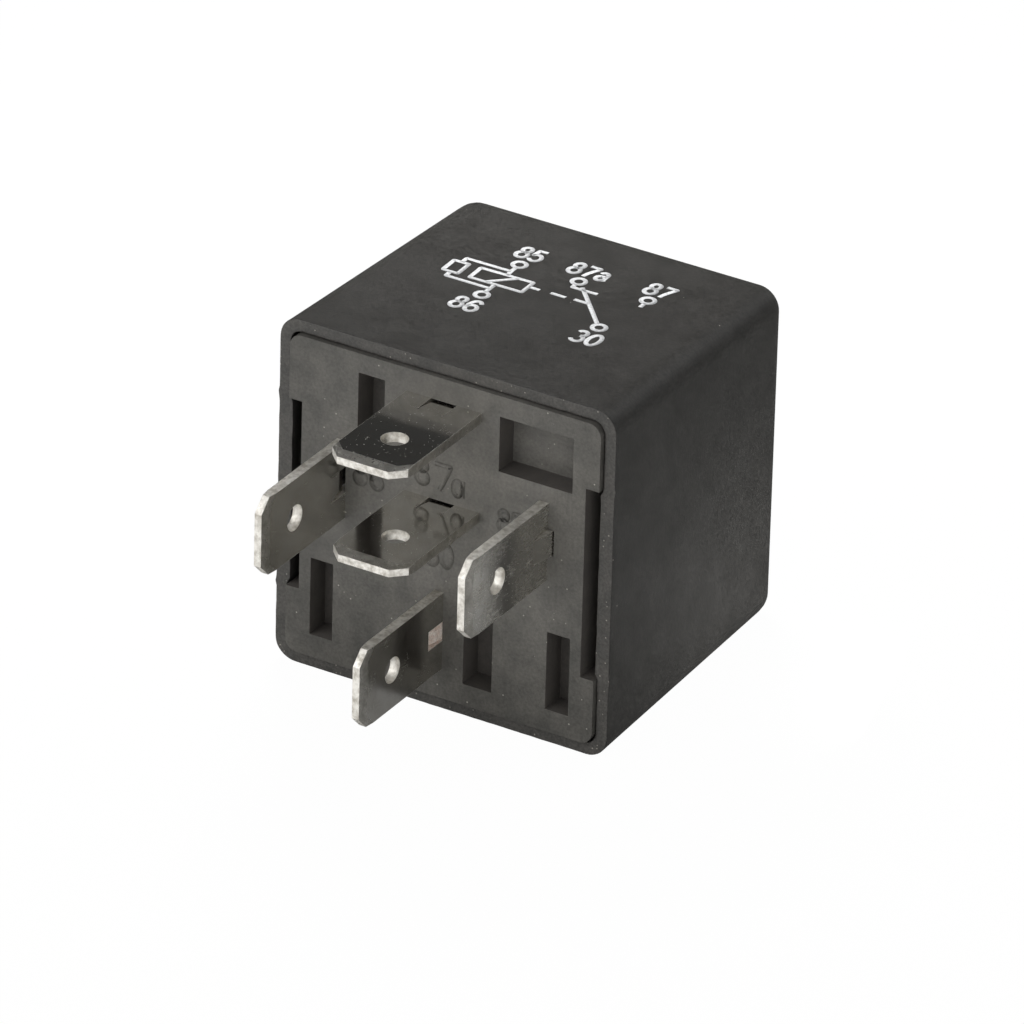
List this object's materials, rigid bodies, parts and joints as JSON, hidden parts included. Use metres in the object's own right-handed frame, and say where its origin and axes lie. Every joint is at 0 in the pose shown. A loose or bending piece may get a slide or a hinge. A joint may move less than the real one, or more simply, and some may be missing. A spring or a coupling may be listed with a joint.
{
  "type": "automotive relay",
  "caption": "Cube-shaped plug-in automotive relay: blade terminals from a moulded base, clipped cover, coil with hinged armature and changeover contact.",
  "frame": {"origin": "centre of the base's outer face", "axes": "-Y is the way the blades point; +Z is the marked face of the cover, up as the relay lies; +X is to the right when looking along +Y"},
  "size_m": [0.028, 0.0369, 0.028],
  "materials": {
    "cover_plastic": "matte moulded, fine sparkle",
    "base_plastic": "matte moulded, glass filled",
    "tinned_blade": "bright tin plate, handled",
    "yoke_steel": "satin zinc plate",
    "rivet_steel": "satin",
    "bobbin_plastic": "matte moulded",
    "copper_wire": "enamelled copper wire",
    "tape": "thin polyester tape",
    "spring_bronze": "rolled spring bronze",
    "contact_silver": "fine silver alloy",
    "resistor_lacquer": "lacquered",
    "tinned_lead": "tinned wire",
    "solder": "soft solder"
  },
  "bodies": {
    "relay": {"cover": "cover_plastic", "base": "base_plastic", "terminal_30": "tinned_blade", "terminal_85": "tinned_blade", "terminal_86": "tinned_blade", "terminal_87": "tinned_blade", "terminal_87a": "tinned_blade", "terminal_30_rivet": "rivet_steel", "yoke": "yoke_steel", "core": "yoke_steel", "bobbin": "bobbin_plastic", "winding": "copper_wire", "winding_tape": "tape", "coil_wire_85": "copper_wire", "coil_wire_86": "copper_wire", "spring_rivet_left": "rivet_steel", "spring_rivet_right": "rivet_steel", "fixed_contact_87": "contact_silver", "fixed_contact_87a": "contact_silver", "resistor_body": "resistor_lacquer", "resistor_lead_85": "tinned_lead", "resistor_lead_86": "tinned_lead", "solder_85": "solder", "solder_86": "solder"},
    "armature_unit": {"armature": "yoke_steel", "contact_spring": "spring_bronze", "armature_rivet_left": "rivet_steel", "armature_rivet_right": "rivet_steel", "moving_contact": "contact_silver"}
  },
  "joints": [
    {"name": "armature_swing", "type": "hinge", "parent": "relay", "child": "armature_unit", "pos_m": [0, 0.0195, -0.01135], "axis": [1, 0, 0], "range_deg": [0, 2.6], "stiffness_Nm_per_rad": 0.02, "springref_deg": -14.32, "deforming": ["contact_spring"]}
  ]
}
